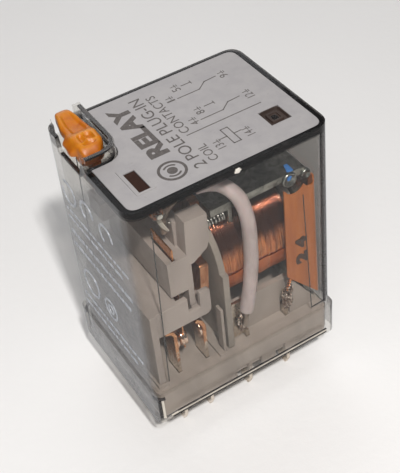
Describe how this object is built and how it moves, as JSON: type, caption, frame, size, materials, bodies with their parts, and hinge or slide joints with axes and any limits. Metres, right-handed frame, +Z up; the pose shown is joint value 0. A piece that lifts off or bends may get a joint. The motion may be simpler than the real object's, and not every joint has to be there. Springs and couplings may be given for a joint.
{
  "type": "plug-in relay",
  "caption": "Miniature changeover plug-in relay: clear cover over a coil, armature and contacts, with a lockable test button and flat plug blades.",
  "frame": {"origin": "centre of the base's underside, the face that seats on the socket", "axes": "+Z up out of the base through the label; +X from the contact and test button end to the coil end; +Y across the poles towards the test button's finger tip"},
  "size_m": [0.0282, 0.0212, 0.043],
  "materials": {
    "clear_cover": "clear slightly smoky polycarbonate, gloss",
    "label_film": "satin light grey film",
    "housing_plastic": "moulded warm light grey",
    "carrier_plastic": "moulded off-white",
    "zinc_steel": "passivated zinc plate, satin",
    "bright_steel": "bright plated steel",
    "winding_copper": "enamelled copper wire, gloss",
    "bronze": "rolled spring bronze",
    "silver_contact": "silver alloy, polished by use",
    "tinned": "tinned",
    "film_tape": "orange insulating film",
    "sleeving": "soft off-white sleeving",
    "orange_plastic": "moulded orange"
  },
  "bodies": {
    "root": {"cover": "clear_cover", "label": "label_film", "base": "housing_plastic", "contact_guide": "housing_plastic", "bobbin": "housing_plastic", "coil_winding": "winding_copper", "coil_lead_a": "winding_copper", "coil_lead_b": "winding_copper", "core": "bright_steel", "return_spring_a": "bright_steel", "return_spring_b": "bright_steel", "flag_pin": "bright_steel", "shading_ring": "bronze", "braid_a": "bronze", "braid_b": "bronze", "yoke": "zinc_steel", "insulating_film": "film_tape", "nc_terminal_a": "tinned", "nc_terminal_b": "tinned", "no_terminal_a": "tinned", "no_terminal_b": "tinned", "com_terminal_a": "tinned", "com_terminal_b": "tinned", "coil_terminal_a": "tinned", "coil_terminal_b": "tinned", "com_solder_a": "tinned", "com_solder_b": "tinned", "coil_solder_a": "tinned", "coil_solder_b": "tinned", "nc_contact_a": "silver_contact", "nc_contact_b": "silver_contact", "no_contact_a": "silver_contact", "no_contact_b": "silver_contact", "sleeve_a": "sleeving", "sleeve_b": "sleeving"},
    "armature": {"armature": "bright_steel", "contact_carrier": "carrier_plastic", "moving_spring_a": "bronze", "moving_spring_b": "bronze", "moving_contact_a": "silver_contact", "moving_contact_b": "silver_contact"},
    "flag": {"flag": "orange_plastic"},
    "test_plunger": {"test_plunger": "orange_plastic", "test_lever_pin": "bright_steel"},
    "test_lever": {"test_lever": "orange_plastic"}
  },
  "joints": [
    {"name": "armature_hinge", "type": "hinge", "parent": "root", "child": "armature", "pos_m": [-0.00197, 0, 0.0275], "axis": [0, -1, 0], "range_deg": [0, 3.8], "stiffness_Nm_per_rad": 0.02, "springref_deg": -5.73},
    {"name": "flag_swing", "type": "hinge", "parent": "root", "child": "flag", "pos_m": [-0.0086, 0, 0.0314], "axis": [0, -1, 0], "range_deg": [0, 39.9]},
    {"name": "test_push", "type": "slide", "parent": "root", "child": "test_plunger", "axis": [0, 0, -1], "range_m": [0, 0.0011], "stiffness_N_per_m": 400, "springref_m": -0.0003},
    {"name": "test_latch", "type": "hinge", "parent": "test_plunger", "child": "test_lever", "pos_m": [-0.0109, 0.0027, 0.0355], "axis": [1, 0, 0], "range_deg": [0, 90]}
  ],
  "couplings": [
    {"joint": "flag_swing", "follows": "armature_hinge", "ratio": 10.5}
  ]
}
